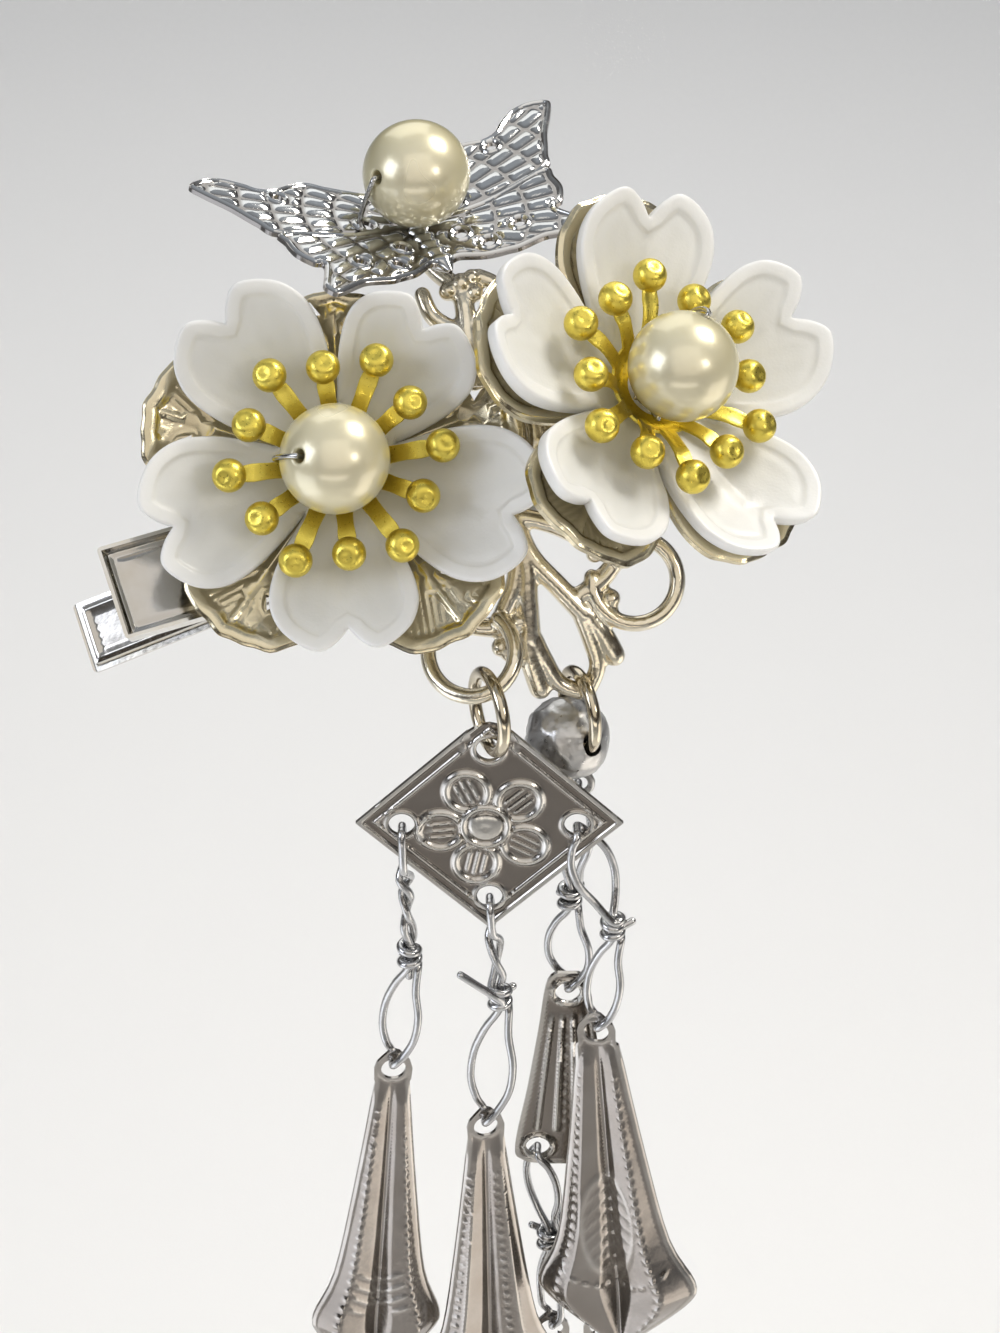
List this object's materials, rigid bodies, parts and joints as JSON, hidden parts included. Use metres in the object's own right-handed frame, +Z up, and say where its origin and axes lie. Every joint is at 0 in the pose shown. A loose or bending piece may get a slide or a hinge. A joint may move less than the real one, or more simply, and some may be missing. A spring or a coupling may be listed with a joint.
{
  "type": "tassel hairpin",
  "caption": "Sprung hair clip with two frosted blossoms, a stamped butterfly, pearls on a filigree base and two hanging strands of stamped metal leaves.",
  "frame": {"origin": "the middle of the clip's grip, in the outer jaw's sheet 0.6 mm in front of the plane where the two jaws meet", "axes": "+Z up, the way the strands hang down from the base; +X to the right of the worn piece seen from its front; -Y out of the hair, towards the viewer. The ornament face leans back by 32 degrees"},
  "size_m": [0.0577, 0.0402, 0.1177],
  "materials": {
    "nickel_plated_steel": "bright nickel plate on pressed sheet",
    "steel_wire": "drawn wire",
    "pale_gold_cast_alloy": "pale gold plate on a cast alloy",
    "champagne_stamped_brass": "champagne plate on stamped sheet",
    "frosted_resin": "translucent moulded resin with a frosted face",
    "yellow_gold_plated_brass": "yellow gold plate",
    "pearl_coated_bead": "pearl lacquer",
    "silver_craft_wire": "bright soft wire",
    "bright_stamped_chrome": "bright plate on stamped sheet",
    "pale_gold_ring_wire": "plated round wire",
    "stamped_aluminium": "thin stamped sheet",
    "aluminium_wire": "bright drawn wire",
    "pleated_aluminium_foil": "thin pleated sheet",
    "crumpled_aluminium_ball": "dull hammered skin"
  },
  "bodies": {
    "ornament": {"clip_outer_jaw": "nickel_plated_steel", "clip_pin": "steel_wire", "clip_spring": "steel_wire", "filigree_base": "pale_gold_cast_alloy", "back_flower_left": "champagne_stamped_brass", "back_flower_right": "champagne_stamped_brass", "blossom_left": "frosted_resin", "blossom_right": "frosted_resin", "stamens_left": "yellow_gold_plated_brass", "stamens_right": "yellow_gold_plated_brass", "pearl_left": "pearl_coated_bead", "pearl_right": "pearl_coated_bead", "pearl_top": "pearl_coated_bead", "pearl_wire_left": "silver_craft_wire", "pearl_wire_right": "silver_craft_wire", "pearl_wire_top": "silver_craft_wire", "butterfly": "bright_stamped_chrome"},
    "inner_jaw": {"clip_inner_jaw": "nickel_plated_steel"},
    "front_ring": {"jump_ring_front": "pale_gold_ring_wire"},
    "front_strand": {"diamond_plate": "stamped_aluminium", "wire_link_left": "aluminium_wire", "wire_link_middle": "aluminium_wire", "wire_link_right": "aluminium_wire", "leaf_drop_left": "pleated_aluminium_foil", "leaf_drop_middle": "pleated_aluminium_foil", "leaf_drop_right": "pleated_aluminium_foil"},
    "rear_ring": {"jump_ring_rear": "pale_gold_ring_wire"},
    "rear_strand": {"silver_ball": "crumpled_aluminium_ball", "rear_link_top": "aluminium_wire", "fan_plate": "stamped_aluminium", "rear_link_left": "aluminium_wire", "rear_link_right": "aluminium_wire", "small_drop_left": "pleated_aluminium_foil", "small_drop_right": "pleated_aluminium_foil"}
  },
  "joints": [
    {"name": "clip_hinge", "type": "hinge", "parent": "ornament", "child": "inner_jaw", "pos_m": [-0.01605, -0.0025, -0.00506], "axis": [-0.3216, 0.6275, 0.7091], "range_deg": [0, 18], "stiffness_Nm_per_rad": 0.1, "springref_deg": -34.38},
    {"name": "front_ring_swing", "type": "hinge", "parent": "ornament", "child": "front_ring", "pos_m": [-0.0023, -0.01125, -0.01271], "axis": [-0.9272, -0.3746, 0], "range_deg": [0, 30]},
    {"name": "front_strand_sway", "type": "hinge", "parent": "front_ring", "child": "front_strand", "pos_m": [-0.0023, -0.01125, -0.01741], "axis": [0, 1, 0], "range_deg": [-20, 20]},
    {"name": "rear_ring_swing", "type": "hinge", "parent": "ornament", "child": "rear_ring", "pos_m": [0.00455, -0.00748, -0.01495], "axis": [0.9272, 0.3746, 0], "range_deg": [0, 30]},
    {"name": "rear_strand_sway", "type": "hinge", "parent": "rear_ring", "child": "rear_strand", "pos_m": [0.00455, -0.00748, -0.01965], "axis": [-0.3746, 0.9272, 0], "range_deg": [-8, 3]}
  ]
}
